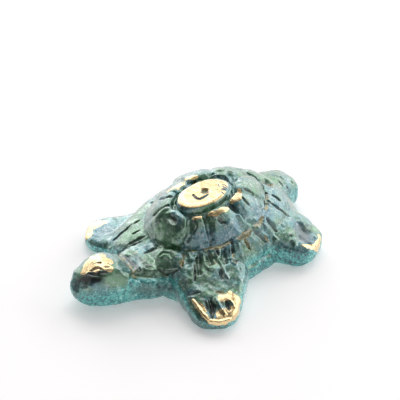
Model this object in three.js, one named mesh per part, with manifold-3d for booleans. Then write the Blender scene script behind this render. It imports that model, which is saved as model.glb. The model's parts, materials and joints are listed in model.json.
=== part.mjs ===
// Small cast bronze turtle, about 78 mm long, put together from the forms that its maker joins:
// an underbody plate, a head, four legs and a tail round it, a ribbed carapace on top, and on the
// carapace a ring of domed scutes round a polished crown.
// Millimetres, +Z up, head towards -Y, the turtle's left side towards +X, origin under the middle of it all.
import * as THREE from "three";
import { mergeVertices } from "three/addons/utils/BufferGeometryUtils.js";
import Module from "manifold-3d";

const wasm = await Module();
wasm.setup();

// Driving dimensions
const LENGTH = 78; // snout to tail tip
const HEIGHT = 20.6; // to the top of the crown
const SEAM = 0.3; // gap between neighbouring pieces
const SLIVER = 0.02; // triangles narrower than this are merged into their neighbours

// The shell's levels, as egg-shaped rings round (x, y): the front and the rear half have their own length and
// squareness (2 is an ellipse), and the hand-made crown sits left of the middle of the shell
const PLATE_TOP = 5.2;
const PLATE = { x: -2.2, y: 5.9, halfWidth: 19.8, front: 25.7, rear: 25.7, frontSquare: 3.8, rearSquare: 3.4 };
const RIM = { x: -2.2, y: 6, halfWidth: 19.1, front: 26, rear: 26, frontSquare: 3.4, rearSquare: 2.7 };
const GROOVE = { x: -2.2, y: 7, halfWidth: 14.7, front: 20, rear: 16.6, frontSquare: 2.2, rearSquare: 1.7 };
const MOAT = { x: 0, y: 2.3, halfWidth: 6.3, front: 9.8, rear: 10, frontSquare: 2, rearSquare: 2 };
const CROWN = { x: 0.1, y: 2.1, halfWidth: 5.2, front: 8.7, rear: 8.7, frontSquare: 2, rearSquare: 2 };
const GROOVE_HEIGHT = 11.4;
const MOAT_HEIGHT = 17.6;
const SHELL_RISE = 0.1; // the groove climbs towards the tail, per millimetre of length

// The plate's wall: height, and how far it stands out
const PLATE_EDGE = [[0, -1.1], [0.7, -0.4], [2.2, 0], [4.2, -0.3], [PLATE_TOP, -1.5]];
// The crown's wall: depth under the top, and how far it stands out
const CROWN_EDGE = [[1.6, 0], [0.5, -0.45], [0.1, -1.8], [0, -3.6]];
const CROWN_FOOT = -0.3;

// The skirt from the rim (0) to the groove (1), as share and height. On the left and the rear it ends in a crest,
// and to the right of the neck skirt and dome are one slope.
const STEPPED = [[0, 5.5], [0.02, 6.2], [0.16, 7.8], [0.3, 9.4], [0.5, 11], [0.7, 12], [0.86, 12.1], [0.97, 11.7]];
const SLOPED = [[0, 5.5], [0.02, 5.7], [0.16, 6.4], [0.3, 7.6], [0.5, 9], [0.7, 10.2], [0.86, 11], [0.97, 11.5]];
const TIERS = [[-180, 0.25], [-160, 0.05], [-100, 0.05], [-78, 1], [100, 1], [125, 0.6], [150, 0.3], [180, 0.25]];
// The grooves between the blocks of the skirt, in degrees
const BLOCK_GROOVES = { angles: [-54, -43, -26, -14, 0, 20, 37, 62, 84, 106], halfWidth: 6, depth: 0.9 };
const FRONT_GROOVES = { angles: [-95, -107, -133], halfWidth: 4, depth: 0.4 };

// The scutes round the crown: the left edge of each in degrees at the groove and at the lip, and its thickness
const SCUTES = {
  front_scute: { edge: [-121, -113], thick: 1 },
  left_scute_1: { edge: [-63, -60], thick: 1.5 },
  left_scute_2: { edge: [-36, -32], thick: 1.9 },
  left_scute_3: { edge: [-2, 11], thick: 1.8 },
  left_scute_4: { edge: [43, 47], thick: 1.8 },
  right_scute_4: { edge: [90, 90], thick: 2.4 },
  right_scute_3: { edge: [138, 136], thick: 2.5 },
  right_scute_2: { edge: [182, 176], thick: 1.6 },
  right_scute_1: { edge: [214, 205], thick: 1.4 },
};
const LAST_EDGE = [239, 247];
const SCUTE_LIP = 0.4; // share of the thickness that is left at the lip beside the moat
const SCUTE_LEAST = 0.4; // thickness at the foot and in the creases
const SCUTE_GAP = 0.03; // radians of bare dome beside each edge
const SCUTE_FOOT = 0.07; // share of the dome left bare along the groove
const SCUTE_STEPS = 10; // also the steps of the dome under the scutes
// How a scute bulges: powers of its sides and its foot, the foot's steepness, and the sides where tiers fade
const PILLOW = { side: 0.55, foot: 2.2, steep: 3.2, plain: 0.9 };
const SCUTE_SWELL = [0.8, 1.2]; // share of the thickness at the foot and at the lip
// A round dent in the middle of every scute, in the knob and in the crown
const DIMPLE = { radius: 1.5, depth: 0.8, share: 0.535, across: 0.5 };

// Flattened balls on the shell, placed in degrees and climb from the rim (0) over the groove (1) to the moat (2)
const KNOB = { angle: -82, climb: 1.5, halfWidth: 5.3, halfLength: 5.2, height: 2.3 }; // the boss on the front scute
const NUCHAL = { angle: -71, climb: 0.52, halfWidth: 4.1, halfLength: 3.3, height: 1.7 }; // the oval over the neck

// The head, turned a little to the turtle's right
const HEAD_TURN = -0.29;
const NECK = { x: 0.2, y: -13 };
const SNOUT = 1.6; // half the width of the snout's blunt end
const HEAD_LENGTH = (LENGTH / 2 + NECK.y - SNOUT * Math.sin(-HEAD_TURN)) / Math.cos(HEAD_TURN);
// share of the length, right and left half width, lowest and highest point
const HEAD_STATIONS = [[0, 10.5, 11, 0, 9.2], [0.26, 8.2, 9.4, 0, 9], [0.39, 6.5, 7.8, 0, 9.2],
  [0.53, 5.9, 6.7, 0, 11.4], [0.67, 6.1, 6, 0.1, 12.3], [0.81, 5.4, 5.1, 0.8, 11.3], [0.92, 4, 3.8, 1.7, 9.2],
  [1, SNOUT, SNOUT, 3.2, 6.8]];

// Rows of grooves fanned over a leg, along it: their height in the middle, and how far that is from the toe edge
const TOES = { count: 3, radius: 0.75, length: 6, fan: 0.3, dip: 0.24, pitch: 3.1, back: 4.2, height: 5.2 };
const LEG_BLOCKS = { count: 3, radius: 0.9, length: 5, fan: 0.25, dip: 0.43, pitch: 4.4, back: 13, height: 9.6 };

// Legs: middle of the root, middle of the toe edge, half widths and heights along the leg
const FRONT_SPREAD = [12, 10.2, 8.4, 6.7, 5, 2.9];
const HIND_LEG = { spread: [9, 8.6, 8.1, 7, 5.6, 3.3], heights: [11, 9.8, 8.4, 6.9, 5.7, 4.7] };
const LEGS = {
  front_left_leg: { root: [11.2, -7.4], tip: [26.1, -18.2], spread: FRONT_SPREAD, rows: [TOES, LEG_BLOCKS],
    heights: [11.2, 9.8, 7.9, 6, 4.6, 3.7] },
  front_right_leg: { root: [-13.4, -6.8], tip: [-26, -16], spread: FRONT_SPREAD, rows: [TOES],
    heights: [5.9, 5.4, 4.8, 4.4, 4, 3.4] },
  hind_left_leg: { root: [9.8, 17.4], tip: [23.3, 22], rows: [], ...HIND_LEG },
  hind_right_leg: { root: [-13.2, 17.4], tip: [-24.6, 22.6], rows: [], ...HIND_LEG },
};
const LEG_STATIONS = [0, 0.22, 0.46, 0.7, 0.89, 1];
const TIP_LIFT = 0.9; // the end of a limb rounds up from the ground
const LIMB_CURVES = { wide: 0.65, below: 0.4, above: 0.75 }; // powers: 1 is round, near 0 is square

const TAIL = { root: [-2.2, 24], tip: [-2.2, LENGTH / 2], spread: [8.6, 7.6, 6.3, 5.4, 4.5, 2.5],
  heights: [10.6, 10.4, 9.9, 9.2, 8.2, 6.8] };

const AROUND = 96; // points on a ring of the shell
const LIMB_AROUND = 20; // points on a limb's section

// Materials: green-blue patina over bronze, and bronze polished bare
const patina = new THREE.MeshStandardMaterial({ color: 0x3f6f68, roughness: 0.42, metalness: 0.35 });
const verdigris = new THREE.MeshStandardMaterial({ color: 0x4f9c98, roughness: 0.6, metalness: 0.2 });
const polished = new THREE.MeshStandardMaterial({ color: 0xe0bd7a, roughness: 0.25, metalness: 1 });

// A closed solid over a row of sections that all have the same number of points
function loft(sections) {
  const count = sections[0].length;
  const points = sections.flat();
  const triangles = [];
  for (let level = 0; level + 1 < sections.length; level++) {
    for (let i = 0; i < count; i++) {
      const a = level * count + i;
      const b = level * count + ((i + 1) % count);
      triangles.push(a, b, b + count, a, b + count, a + count);
    }
  }
  closeEnd(points, triangles, 0, count, true);
  closeEnd(points, triangles, (sections.length - 1) * count, count, false);
  return facingOut(points, triangles);
}

// A fan from the middle of an end section
function closeEnd(points, triangles, first, count, reversed) {
  const middle = new THREE.Vector3();
  for (let i = 0; i < count; i++) middle.addScaledVector(points[first + i], 1 / count);
  points.push(middle);
  for (let i = 0; i < count; i++) {
    const a = first + i;
    const b = first + ((i + 1) % count);
    triangles.push(...(reversed ? [points.length - 1, b, a] : [points.length - 1, a, b]));
  }
}

// A geometry whose faces point outwards, whichever way its sections were drawn
function facingOut(points, triangles) {
  let volume = 0;
  for (let i = 0; i < triangles.length; i += 3) {
    const [a, b, c] = triangles.slice(i, i + 3).map((n) => points[n]);
    volume += a.dot(b.clone().cross(c));
  }
  const faces = volume < 0 ? triangles.reverse() : triangles;
  const geometry = new THREE.BufferGeometry().setFromPoints(points);
  geometry.setIndex(faces);
  return geometry;
}

// A geometry as a solid that can be cut
function solidOf(geometry) {
  const bare = geometry.clone();
  bare.deleteAttribute("normal");
  bare.deleteAttribute("uv");
  const merged = mergeVertices(bare, 1e-3);
  const vertProperties = merged.attributes.position.array;
  const triVerts = new Uint32Array(merged.index.array);
  return new wasm.Manifold(new wasm.Mesh({ numProp: 3, vertProperties, triVerts }));
}

// What is left of a geometry once other geometries are cut out of it
function cut(geometry, ...cutters) {
  return geometryOf(cutters.reduce((solid, cutter) => solid.subtract(solidOf(cutter)), solidOf(geometry)));
}

// Two geometries grown into one
function joined(first, second) {
  return geometryOf(solidOf(first).add(solidOf(second)));
}

// A solid as a geometry, without the slivers that a cut leaves
function geometryOf(solid) {
  const mesh = solid.asOriginal().simplify(SLIVER).getMesh();
  const result = new THREE.BufferGeometry();
  result.setAttribute("position", new THREE.BufferAttribute(mesh.vertProperties, 3));
  result.setIndex(new THREE.BufferAttribute(mesh.triVerts, 1));
  return result;
}

function signedPower(value, power) {
  return Math.sign(value) * Math.abs(value) ** power;
}

// A point on a ring, which may be grown by a margin
function ringPoint(ring, angle, height, grow = 0) {
  const rear = Math.sin(angle) > 0;
  const power = 2 / (rear ? ring.rearSquare : ring.frontSquare);
  const x = ring.x + (ring.halfWidth + grow) * signedPower(Math.cos(angle), power);
  const y = ring.y + ((rear ? ring.rear : ring.front) + grow) * signedPower(Math.sin(angle), power);
  return new THREE.Vector3(x, y, height);
}

function ringSection(pointAt) {
  return Array.from({ length: AROUND }, (_, i) => pointAt((i / AROUND) * 2 * Math.PI));
}

// A ring part of the way from one ring to another
function between(from, to, share) {
  return Object.fromEntries(Object.keys(from).map((key) => [key, THREE.MathUtils.lerp(from[key], to[key], share)]));
}

// The value at a place on a broken line of [place, value] pairs
function along(line, place) {
  const next = Math.max(1, line.findIndex(([at]) => at >= place));
  const [[a, from], [b, to]] = [line[next - 1], line[next]];
  return THREE.MathUtils.mapLinear(place, a, b, from, to);
}

function degreesAround(angle) {
  return THREE.MathUtils.euclideanModulo(THREE.MathUtils.radToDeg(angle) + 180, 360) - 180;
}

// The bare shell: angle round it, and climb from the rim (0) over the groove (1) to the moat (2)
function shellPoint(angle, climb) {
  if (climb < STEPPED.at(-1)[0]) {
    const point = ringPoint(between(RIM, GROOVE, climb), angle, 0);
    const step = along(TIERS, degreesAround(angle));
    const height = THREE.MathUtils.lerp(along(SLOPED, climb), along(STEPPED, climb), step);
    return point.setZ(height + SHELL_RISE * climb * (point.y - RIM.y));
  }
  const share = Math.max(0, climb - 1);
  const point = ringPoint(between(GROOVE, MOAT, share), angle, 0);
  const height = THREE.MathUtils.lerp(GROOVE_HEIGHT, MOAT_HEIGHT, Math.sin(share * Math.PI / 2));
  return point.setZ(height + SHELL_RISE * (1 - share) * (point.y - RIM.y));
}

// The way that the shell faces at a place
function shellNormal(angle, climb) {
  const step = 0.02;
  const around = shellPoint(angle + step, climb).sub(shellPoint(angle - step, climb));
  const upwards = shellPoint(angle, Math.min(2, climb + step)).sub(shellPoint(angle, climb - step));
  return around.cross(upwards).normalize();
}

// How deep a row of grooves goes at an angle
function grooveDepth({ angles, halfWidth, depth }, angle) {
  const nearest = Math.min(...angles.map((at) => Math.abs(degreesAround(angle) - at)));
  return depth * Math.max(0, 1 - (nearest / halfWidth) ** 2);
}

// Underbody plate, flat below, with a soft lower edge
function plastronGeometry(grow = 0) {
  return loft(PLATE_EDGE.map(([height, inset]) => {
    const level = height === PLATE_TOP ? height + grow : height - (height === 0 ? grow : 0);
    return ringSection((angle) => ringPoint(PLATE, angle, level, inset + grow));
  }));
}

// Skirt with its blocks, and the dome that carries the scutes. Grown, it cuts room for itself out of its neighbours.
function carapaceGeometry(grow = 0) {
  const skirt = STEPPED.map(([climb], level) => ringSection((angle) => {
    const point = shellPoint(angle, climb);
    const ends = level === 0 || level === STEPPED.length - 1;
    const notch = ends ? 0 : grooveDepth(BLOCK_GROOVES, angle) + grooveDepth(FRONT_GROOVES, angle);
    const outwards = new THREE.Vector3(point.x - RIM.x, point.y - RIM.y, 0).normalize();
    point.addScaledVector(outwards, grow - notch);
    return point.setZ(point.z + (level === 0 ? -grow : grow - notch / 2));
  }));
  const dome = Array.from({ length: SCUTE_STEPS + 1 }, (_, step) => ringSection((angle) => {
    const point = shellPoint(angle, 1 + step / SCUTE_STEPS);
    return point.setZ(point.z + grow);
  }));
  return loft([...skirt, ...dome]);
}

// One domed scute between two edges, from the groove up to the polished lip beside the moat
function scuteGeometry(left, right, thick) {
  const middle = shellPoint(scuteAngle(left, right, DIMPLE.share, DIMPLE.across), 1 + DIMPLE.share);
  const sections = [];
  for (let i = 0; i <= SCUTE_STEPS; i++) {
    const across = i / SCUTE_STEPS;
    const puffed = (1 - (2 * across - 1) ** 2) ** PILLOW.side;
    const upper = [];
    const lower = [];
    for (let j = 0; j <= SCUTE_STEPS; j++) {
      const share = THREE.MathUtils.lerp(SCUTE_FOOT, 1, j / SCUTE_STEPS);
      const angle = scuteAngle(left, right, share, across);
      const step = along(TIERS, degreesAround(angle));
      const side = THREE.MathUtils.lerp(PILLOW.plain, puffed, step);
      const round = Math.sqrt(1 - Math.max(0, 1 - share * PILLOW.steep) ** PILLOW.foot);
      const foot = THREE.MathUtils.lerp(share, round, step);
      const lip = j === SCUTE_STEPS ? SCUTE_LIP : 1;
      const seat = shellPoint(angle, 1 + share);
      const swell = THREE.MathUtils.lerp(...SCUTE_SWELL, share);
      const dip = DIMPLE.depth * Math.max(0, 1 - (seat.distanceTo(middle) / DIMPLE.radius) ** 2);
      const height = thick * side * foot * lip * swell - dip;
      const normal = shellNormal(angle, 1 + share);
      upper.push(seat.clone().addScaledVector(normal, SEAM + Math.max(height, SCUTE_LEAST)));
      lower.push(seat.addScaledVector(normal, SEAM));
    }
    sections.push([...upper, ...lower.reverse()]);
  }
  return loft(sections);
}

// The angle part of the way across a scute, whose edges lean
function scuteAngle(left, right, share, across) {
  const [from, to] = [left, right].map((edge) => THREE.MathUtils.degToRad(THREE.MathUtils.lerp(...edge, share)));
  return THREE.MathUtils.lerp(from + SCUTE_GAP, to - SCUTE_GAP, across);
}

// A flattened ball that lies on the bare shell
function lumpGeometry({ angle, climb, halfWidth, halfLength, height }, grow = 0) {
  const turn = THREE.MathUtils.degToRad(angle);
  const normal = shellNormal(turn, climb);
  const sideways = new THREE.Vector3(0, 0, 1).cross(normal).normalize();
  const upslope = normal.clone().cross(sideways);
  const pebble = new THREE.SphereGeometry(1, 28, 18);
  pebble.scale(halfWidth + grow, halfLength + grow, height + grow);
  pebble.applyMatrix4(new THREE.Matrix4().makeBasis(sideways, upslope, normal));
  return pebble.translate(...shellPoint(turn, climb).toArray());
}

// The top of such a ball, and the way that it faces
function lumpTop({ angle, climb, height }) {
  const turn = THREE.MathUtils.degToRad(angle);
  const normal = shellNormal(turn, climb);
  return [shellPoint(turn, climb).addScaledVector(normal, height), normal];
}

// A ball that cuts a dent of the stated radius and depth into a face
function dent(place, outward) {
  const ball = (DIMPLE.radius ** 2 + DIMPLE.depth ** 2) / (2 * DIMPLE.depth);
  const middle = place.clone().addScaledVector(outward, ball - DIMPLE.depth);
  return new THREE.SphereGeometry(ball, 20, 12).translate(...middle.toArray());
}

// Crown: a low oval button in the moat
function crownGeometry() {
  const walls = [[HEIGHT - MOAT_HEIGHT - SEAM, CROWN_FOOT], ...CROWN_EDGE];
  return loft(walls.map(([depth, inset]) => ringSection((angle) => ringPoint(CROWN, angle, HEIGHT - depth, inset))));
}

// A section across a limb: flat below, round above, square to the direction of the limb
function limbSection(middle, direction, rightHalf, leftHalf, low, high) {
  const side = new THREE.Vector3(-direction.y, direction.x, 0);
  const tall = (high - low) / 2;
  return Array.from({ length: LIMB_AROUND }, (_, i) => {
    const angle = (i / LIMB_AROUND) * 2 * Math.PI;
    const curve = angle > Math.PI ? LIMB_CURVES.below : LIMB_CURVES.above;
    const wide = signedPower(Math.cos(angle), LIMB_CURVES.wide);
    const up = signedPower(Math.sin(angle), curve);
    const halfWidth = wide > 0 ? leftHalf : rightHalf;
    return side.clone().multiplyScalar(halfWidth * wide).add(middle).setZ(low + tall + tall * up);
  });
}

// Legs and tail: a paddle from its root under the shell to its rounded end, standing on the ground
function limbGeometry(limb, grow = 0) {
  const root = new THREE.Vector3(...limb.root, 0);
  const tip = new THREE.Vector3(...limb.tip, 0);
  const direction = tip.clone().sub(root).normalize();
  const sections = LEG_STATIONS.map((share, i) => {
    const low = i === LEG_STATIONS.length - 1 ? TIP_LIFT : 0;
    const middle = root.clone().lerp(tip, share);
    const halfWidth = limb.spread[i] + grow;
    return limbSection(middle, direction, halfWidth, halfWidth, low, limb.heights[i] + grow);
  });
  return loft(sections);
}

// The grooves of a row, as capsules that are cut out of the leg
function grooveRow(limb, row) {
  const root = new THREE.Vector3(...limb.root, 0);
  const tip = new THREE.Vector3(...limb.tip, 0);
  const direction = tip.clone().sub(root).normalize();
  const side = new THREE.Vector3(-direction.y, direction.x, 0);
  return Array.from({ length: row.count }, (_, i) => {
    const lane = i - (row.count - 1) / 2;
    const groove = new THREE.CapsuleGeometry(row.radius, row.length, 4, 8);
    const heading = direction.clone().addScaledVector(side, lane * row.fan);
    heading.setZ(-row.dip).normalize();
    groove.applyQuaternion(new THREE.Quaternion().setFromUnitVectors(new THREE.Vector3(0, 1, 0), heading));
    const middle = tip.clone().addScaledVector(direction, -row.back);
    middle.addScaledVector(side, lane * row.pitch);
    return groove.translate(middle.x, middle.y, row.height);
  });
}

// Head and neck, lofted from the neck's broad root to the snout
function headGeometry(grow = 0) {
  const ahead = new THREE.Vector3(0, -1, 0).applyAxisAngle(new THREE.Vector3(0, 0, 1), HEAD_TURN);
  const start = new THREE.Vector3(NECK.x, NECK.y, 0);
  return loft(HEAD_STATIONS.map(([share, rightHalf, leftHalf, low, high]) => {
    const middle = start.clone().addScaledVector(ahead, share * HEAD_LENGTH);
    return limbSection(middle, ahead, rightHalf + grow, leftHalf + grow, low, high + grow);
  }));
}

const turtle = new THREE.Group();

function addPiece(name, geometry, material) {
  const mesh = new THREE.Mesh(geometry, material);
  mesh.name = name;
  turtle.add(mesh);
}

const plateCutter = plastronGeometry(SEAM);
const shellCutter = carapaceGeometry(SEAM);
const headCutter = headGeometry(SEAM);
const tailCutter = limbGeometry(TAIL, SEAM);
const nuchalCutter = lumpGeometry(NUCHAL, SEAM);
const knobCutter = lumpGeometry(KNOB, SEAM);

addPiece("plastron", plastronGeometry(), verdigris);
addPiece("head", cut(headGeometry(), plateCutter, shellCutter), patina);
for (const [name, leg] of Object.entries(LEGS)) {
  const grooves = leg.rows.flatMap((row) => grooveRow(leg, row));
  const cutters = [plateCutter, shellCutter, headCutter, tailCutter, nuchalCutter, ...grooves];
  addPiece(name, cut(limbGeometry(leg), ...cutters), patina);
}
addPiece("tail", cut(limbGeometry(TAIL), plateCutter, shellCutter), patina);
addPiece("carapace", carapaceGeometry(), patina);
addPiece("nuchal_scute", cut(lumpGeometry(NUCHAL), shellCutter, headCutter, knobCutter), patina);
const edges = [...Object.values(SCUTES).map(({ edge }) => edge), LAST_EDGE];
Object.entries(SCUTES).forEach(([name, { thick }], i) => {
  const scute = scuteGeometry(edges[i], edges[i + 1], thick);
  if (name === "front_scute") {
    const knob = cut(lumpGeometry(KNOB), shellCutter);
    const knobTop = lumpTop(KNOB);
    addPiece(name, cut(joined(scute, knob), dent(...knobTop)), patina);
  } else {
    addPiece(name, cut(scute, knobCutter), patina);
  }
});
const crownTop = new THREE.Vector3(CROWN.x, CROWN.y, HEIGHT);
addPiece("crown", cut(crownGeometry(), dent(crownTop, new THREE.Vector3(0, 0, 1))), polished);

export default turtle;
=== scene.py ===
# %% [markdown]
# # A small bronze turtle
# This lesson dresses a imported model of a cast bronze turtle, 78 mm long. The real one is modelled in wax,
# cast, patinated blue-green, lacquered, and rubbed bright on its high spots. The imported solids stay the
# fixed frame: every piece made here stands where its solid stands and takes over its looks.

import json
import math
from collections import namedtuple

import bpy
import numpy as np
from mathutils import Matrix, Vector, kdtree

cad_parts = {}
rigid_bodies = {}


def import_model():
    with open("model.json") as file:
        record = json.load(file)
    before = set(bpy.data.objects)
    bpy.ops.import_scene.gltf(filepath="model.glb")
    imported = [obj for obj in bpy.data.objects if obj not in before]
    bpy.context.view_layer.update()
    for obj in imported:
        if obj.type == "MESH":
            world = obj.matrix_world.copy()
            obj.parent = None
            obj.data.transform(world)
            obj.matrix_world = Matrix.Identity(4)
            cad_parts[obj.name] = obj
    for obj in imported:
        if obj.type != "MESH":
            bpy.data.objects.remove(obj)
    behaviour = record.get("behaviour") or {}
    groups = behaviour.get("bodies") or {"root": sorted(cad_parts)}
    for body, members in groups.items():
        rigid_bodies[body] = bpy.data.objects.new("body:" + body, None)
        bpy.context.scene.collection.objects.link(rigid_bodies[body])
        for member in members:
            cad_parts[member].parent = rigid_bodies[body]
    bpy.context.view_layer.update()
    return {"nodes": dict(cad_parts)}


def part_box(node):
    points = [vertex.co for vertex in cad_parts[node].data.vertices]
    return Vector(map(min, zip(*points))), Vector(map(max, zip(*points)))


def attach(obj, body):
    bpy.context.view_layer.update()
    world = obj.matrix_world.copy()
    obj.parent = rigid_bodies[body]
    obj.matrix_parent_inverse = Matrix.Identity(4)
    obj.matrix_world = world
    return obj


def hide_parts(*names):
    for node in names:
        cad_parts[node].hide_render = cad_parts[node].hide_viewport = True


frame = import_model()
MM = 0.001  # the shapes below are worked out in millimetres, and Blender keeps metres
print("nodes in the frame:", len(frame["nodes"]))

# %% [markdown]
# ## Camera
# The photograph looks down on the turtle from the front left. The camera's turn, rise and distance were
# fitted to the outline in the picture, so a long lens from half a metre away gives the same slight
# perspective.

# %% Camera
VIEW_TURN = math.radians(45.1)
VIEW_RISE = math.radians(37.2)
VIEW_DISTANCE = 542.6
FRAME_PIXELS = 400
FOCAL_PIXELS = 2002.0
AIMED_AT = (0.0, 2.3, 0.0)  # the point of the turtle that the fit was made about
AIMED_PIXEL = (203.6, 253.1)  # where that point shows in the photograph
SENSOR = 36.0

back = Vector((math.sin(VIEW_TURN) * math.cos(VIEW_RISE), -math.cos(VIEW_TURN) * math.cos(VIEW_RISE),
               math.sin(VIEW_RISE)))
right = Vector((math.cos(VIEW_TURN), math.sin(VIEW_TURN), 0))
up = back.cross(right)
middle_right = FRAME_PIXELS / 2 - AIMED_PIXEL[0]
middle_up = AIMED_PIXEL[1] - FRAME_PIXELS / 2
looking = -back * FOCAL_PIXELS + right * middle_right + up * middle_up

bpy.ops.object.camera_add(location=(Vector(AIMED_AT) + back * VIEW_DISTANCE) * MM)
camera = bpy.context.object
camera.rotation_euler = looking.to_track_quat("-Z", "Y").to_euler()
camera.data.lens = SENSOR * FOCAL_PIXELS / FRAME_PIXELS
camera.data.sensor_width = SENSOR
bpy.context.scene.camera = camera
print("camera lens:", round(camera.data.lens, 1), "mm")

# %% [markdown]
# ## Floor
# The turtle stands on white paper that shows no edge, so one big plane with a matt white finish is
# enough. It glows a little by itself. That stands in for the white paper all round the set, and keeps the
# corners of the picture white without brighter lamps.

# %% Floor
FLOOR_SIZE = 6.0  # metres, as all places of the set
FLOOR_WHITE = (0.93, 0.90, 0.90, 1)
FLOOR_GLOW = 0.27


def deselect():
    bpy.ops.object.select_all(action="DESELECT")


deselect()
bpy.ops.mesh.primitive_plane_add(size=FLOOR_SIZE)
floor = bpy.context.object
floor.name = "floor"
white = bpy.data.materials.new("white_sweep")
white.use_nodes = True
paper = white.node_tree.nodes["Principled BSDF"].inputs
paper["Base Color"].default_value = FLOOR_WHITE
paper["Roughness"].default_value = 0.9
paper["Specular IOR Level"].default_value = 0.1
paper["Emission Color"].default_value = (1, 1, 1, 1)
paper["Emission Strength"].default_value = FLOOR_GLOW
floor.data.materials.append(white)
print("floor:", FLOOR_SIZE, "m wide")

# %% [markdown]
# ## Light
# Every slope that turns away from the camera shines pale, because the lacquer mirrors bright walls behind
# the turtle. So broad panels stand there, a soft box overhead draws the soft shadow, and weak fills keep
# the near side deep but readable. A panel's power follows from its size and its brightness, so that it
# can be resized without a change of tone.

# %% Light
SoftBox = namedtuple("SoftBox", "name place aim_height width height brightness")
SOFT_BOXES = [
    SoftBox("overhead_box", (-0.33, 0.42, 0.84), 0, 0.7, 0.7, 1.8),
    SoftBox("back_wall", (-0.8, 0.8, 0.28), 0.02, 1.1, 0.5, 1.5),
    SoftBox("left_wall", (-1.05, 0.2, 0.42), 0.02, 1.1, 0.85, 1.8),
    SoftBox("rear_wall", (0.3, 1.03, 0.42), 0.02, 1.7, 0.85, 2.0),
    SoftBox("back_sky", (-0.62, 0.62, 0.95), 0.02, 1.7, 0.6, 0.8),
    SoftBox("front_fill", (-0.75, -0.6, 0.5), 0.02, 0.8, 0.6, 0.3),
    SoftBox("right_fill", (1.05, -0.25, 0.4), 0.02, 1.2, 0.8, 0.75),
    SoftBox("top_fill", (0.2, 0.25, 1.1), 0.02, 0.8, 0.8, 0.4),
]
ROOM_COLOUR = (0.95, 0.97, 1.0, 1)
ROOM_BRIGHTNESS = 0.12

for box in SOFT_BOXES:
    bpy.ops.object.light_add(type="AREA", location=box.place)
    lamp = bpy.context.object
    lamp.name = box.name
    lamp.data.shape = "RECTANGLE"
    lamp.data.size = box.width
    lamp.data.size_y = box.height
    lamp.data.energy = box.brightness * math.pi * box.width * box.height
    aim = Vector((0, 0, box.aim_height)) - Vector(box.place)
    lamp.rotation_euler = aim.to_track_quat("-Z", "Y").to_euler()

studio = bpy.data.worlds.new("studio")
studio.use_nodes = True
studio.node_tree.nodes["Background"].inputs["Color"].default_value = ROOM_COLOUR
studio.node_tree.nodes["Background"].inputs["Strength"].default_value = ROOM_BRIGHTNESS
bpy.context.scene.world = studio
bpy.context.scene.view_settings.view_transform = "Standard"
print("soft boxes:", len(SOFT_BOXES))

# %% [markdown]
# ## Handling a mesh
# Wax is shaped with warm fingers, which move a lot of it at once. In the same way all points of a mesh
# are read into one array here, moved by a formula and written back. An operator acts on what is selected,
# so `alone` makes one piece the only selected and active one, and `apply` adds a modifier and applies it
# at once.

# %% Handling a mesh
def alone(piece):
    deselect()
    piece.select_set(True)
    bpy.context.view_layer.objects.active = piece


def points_of(piece):
    flat = np.empty(len(piece.data.vertices) * 3, np.float32)
    piece.data.vertices.foreach_get("co", flat)
    return flat.reshape(-1, 3).astype(float)


def set_points(piece, points):
    piece.data.vertices.foreach_set("co", points.astype(np.float32).ravel())
    piece.data.update()


def apply(piece, kind, **settings):
    alone(piece)
    modifier = piece.modifiers.new(kind.lower(), kind)
    for key, value in settings.items():
        setattr(modifier, key, value)
    bpy.ops.object.modifier_apply(modifier=modifier.name)


print("corners of the floor:", points_of(floor).tolist())

# %% [markdown]
# ## Nodes for the finish
# A material is a tree of nodes, and wiring one by hand takes many clicks. Each helper adds one node,
# links what goes into it and gives back what comes out of it, so that a recipe reads as a few lines.

# %% Nodes for the finish
def grey(level):
    return (level, level, level)


def tone_ramp(tree, source, stops):
    node = tree.nodes.new("ShaderNodeValToRGB")
    elements = node.color_ramp.elements
    while len(elements) < len(stops):
        elements.new(0.5)
    for element, (place, colour) in zip(elements, stops):
        element.position = place
        element.color = (*colour, 1)
    tree.links.new(source, node.inputs["Fac"])
    return node.outputs["Color"]


def fade(tree, source, low, high, most=1.0):
    """0 where the source is below low, and the most where it is above high."""
    return tone_ramp(tree, source, ((low, grey(0)), (high, grey(most))))


def mixed(tree, share, first, second):
    node = tree.nodes.new("ShaderNodeMix")
    node.data_type = "RGBA"
    tree.links.new(share, node.inputs[0])
    for socket, colour in ((node.inputs[6], first), (node.inputs[7], second)):
        if isinstance(colour, tuple):
            socket.default_value = (*colour, 1)
        else:
            tree.links.new(colour, socket)
    return node.outputs[2]


def maths(tree, operation, first, second):
    node = tree.nodes.new("ShaderNodeMath")
    node.operation = operation
    for socket, value in zip(node.inputs, (first, second)):
        if isinstance(value, float):
            socket.default_value = value
        else:
            tree.links.new(value, socket)
    return node.outputs["Value"]


def swing(tree, source, scale=1.0):
    """A number that swings round 0.5, made to swing round 0."""
    return maths(tree, "MULTIPLY", maths(tree, "SUBTRACT", source, 0.5), scale)


def grain(tree, place, size, detail, roughness):
    """Noise with lumps of about this size in millimetres."""
    node = tree.nodes.new("ShaderNodeTexNoise")
    node.inputs["Scale"].default_value = 1 / (size * MM)
    node.inputs["Detail"].default_value = detail
    node.inputs["Roughness"].default_value = roughness
    tree.links.new(place, node.inputs["Vector"])
    return node.outputs["Fac"]


def painted(tree, name):
    node = tree.nodes.new("ShaderNodeAttribute")
    node.attribute_name = name
    return node.outputs["Fac"]


print("kinds of node: ramp, mix, maths, noise and painted number")

# %% [markdown]
# ## Colours
# Patina wanders between blue, teal and green. The sides carry a crust of turquoise crystals, from nearly
# black hollows to pale tips. Dirt is ochre, and bare bronze is yellow and turns brown where it is not
# quite clean. Each tone stands beside the noise level that it belongs to, and was matched to the
# photograph in this light.

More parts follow.
